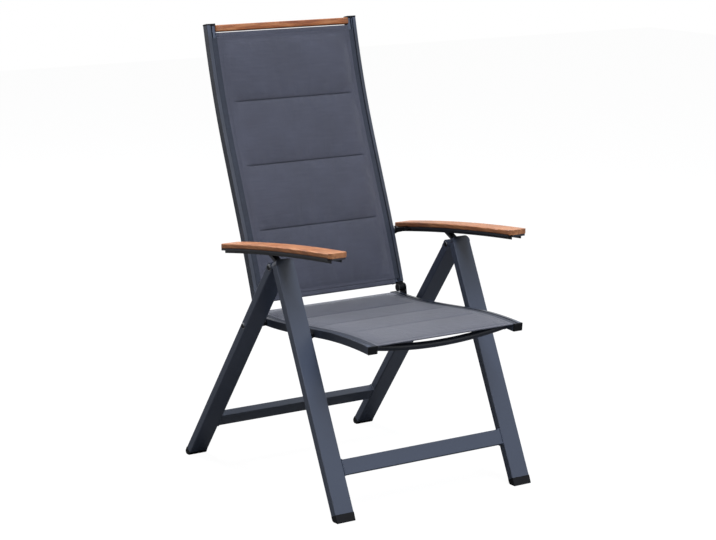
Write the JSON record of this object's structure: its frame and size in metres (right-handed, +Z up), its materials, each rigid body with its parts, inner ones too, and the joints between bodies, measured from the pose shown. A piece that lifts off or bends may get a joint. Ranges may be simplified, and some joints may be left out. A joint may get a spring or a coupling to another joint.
{
  "type": "folding garden armchair",
  "caption": "High-back folding garden armchair: A-frame legs, sling seat and curved back in padded mesh fabric, and arched wooden arms on struts; the back reclines and the chair folds flat.",
  "frame": {"origin": "on the floor, below the middle of the whole chair", "axes": "+Z up; the sitter faces -Y; the sitter's left is +X"},
  "size_m": [0.5876, 0.7534, 1.1179],
  "materials": {
    "frame": "dark blue-grey powder coat",
    "cast_head": "dark blue-grey powder coat",
    "plastic": "black, matt",
    "strut": "black coat",
    "bolt": "stainless",
    "fabric": "woven grey mesh, padded",
    "wood": "oiled hardwood"
  },
  "bodies": {
    "front_frame": {"apex_bolts": "bolt", "apex_washers": "bolt", "front_crossbar": "frame", "front_foot_caps": "plastic", "front_head_left": "cast_head", "front_head_right": "cast_head", "front_leg_left": "frame", "front_leg_right": "frame", "saddle_left": "plastic", "saddle_right": "plastic", "strut_left": "strut", "strut_pins": "bolt", "strut_right": "strut"},
    "rear_frame": {"rear_crossbar": "frame", "rear_foot_caps": "plastic", "rear_head_left": "cast_head", "rear_head_right": "cast_head", "rear_leg_left": "frame", "rear_leg_right": "frame", "seat_bolt_washers": "bolt", "seat_bolts": "bolt", "seat_spacers": "plastic"},
    "seat_frame": {"rest_bolts": "bolt", "rest_rollers": "plastic", "seat_front_tube": "frame", "seat_hinge_left": "plastic", "seat_hinge_right": "plastic", "seat_pad": "fabric", "seat_rail_caps": "plastic", "seat_rail_left": "frame", "seat_rail_right": "frame", "seat_rear_tube": "frame"},
    "hinge_pins": {"hinge_pins": "bolt"},
    "back_frame": {"back_hinge_left": "plastic", "back_hinge_right": "plastic", "back_lower_band": "frame", "back_pad": "fabric", "back_rail_caps": "plastic", "back_rail_left": "frame", "back_rail_right": "frame", "back_top_bar": "wood", "back_upper_band": "frame"},
    "arm_pivot_left": {"arm_bolt_left": "bolt"},
    "arm_pivot_right": {"arm_bolt_right": "bolt"},
    "arm_left": {"arm_bracket_left": "plastic", "arm_channel_left": "frame", "arm_rack_left": "plastic", "arm_screws_left": "bolt", "arm_slab_left": "wood"},
    "arm_right": {"arm_bracket_right": "plastic", "arm_channel_right": "frame", "arm_rack_right": "plastic", "arm_screws_right": "bolt", "arm_slab_right": "wood"}
  },
  "joints": [
    {"name": "leg_fold", "type": "hinge", "parent": "front_frame", "child": "rear_frame", "pos_m": [0, -0.04584, 0.566], "axis": [-1, 0, 0], "range_deg": [0, 60.9]},
    {"name": "seat_fold", "type": "hinge", "parent": "rear_frame", "child": "seat_frame", "pos_m": [0, 0.0773, 0.39898], "axis": [-1, 0, 0], "range_deg": [0, 46.2]},
    {"name": "back_fold", "type": "hinge", "parent": "seat_frame", "child": "hinge_pins", "pos_m": [0, 0.12631, 0.42696], "axis": [-1, 0, 0], "range_deg": [-104.3, 0]},
    {"name": "recline", "type": "hinge", "parent": "hinge_pins", "child": "back_frame", "pos_m": [0, 0.12631, 0.42696], "axis": [-1, 0, 0], "range_deg": [0, 38]},
    {"name": "arm_fold_left", "type": "hinge", "parent": "back_frame", "child": "arm_pivot_left", "pos_m": [0.231, 0.17665, 0.5715], "axis": [-1, 0, 0], "range_deg": [0, 104.3]},
    {"name": "arm_tilt_left", "type": "hinge", "parent": "arm_pivot_left", "child": "arm_left", "pos_m": [0.231, 0.17665, 0.5715], "axis": [-1, 0, 0], "range_deg": [-27.19, 0]},
    {"name": "arm_fold_right", "type": "hinge", "parent": "back_frame", "child": "arm_pivot_right", "pos_m": [-0.231, 0.17665, 0.5715], "axis": [-1, 0, 0], "range_deg": [0, 104.3]},
    {"name": "arm_tilt_right", "type": "hinge", "parent": "arm_pivot_right", "child": "arm_right", "pos_m": [-0.231, 0.17665, 0.5715], "axis": [-1, 0, 0], "range_deg": [-27.19, 0]}
  ],
  "couplings": [
    {"joint": "seat_fold", "follows": "leg_fold", "ratio": 0.75698},
    {"joint": "back_fold", "follows": "leg_fold", "ratio": -1.711},
    {"joint": "arm_fold_left", "follows": "leg_fold", "ratio": 1.711},
    {"joint": "arm_tilt_left", "follows": "recline", "ratio": -0.713},
    {"joint": "arm_fold_right", "follows": "leg_fold", "ratio": 1.711},
    {"joint": "arm_tilt_right", "follows": "recline", "ratio": -0.713}
  ]
}
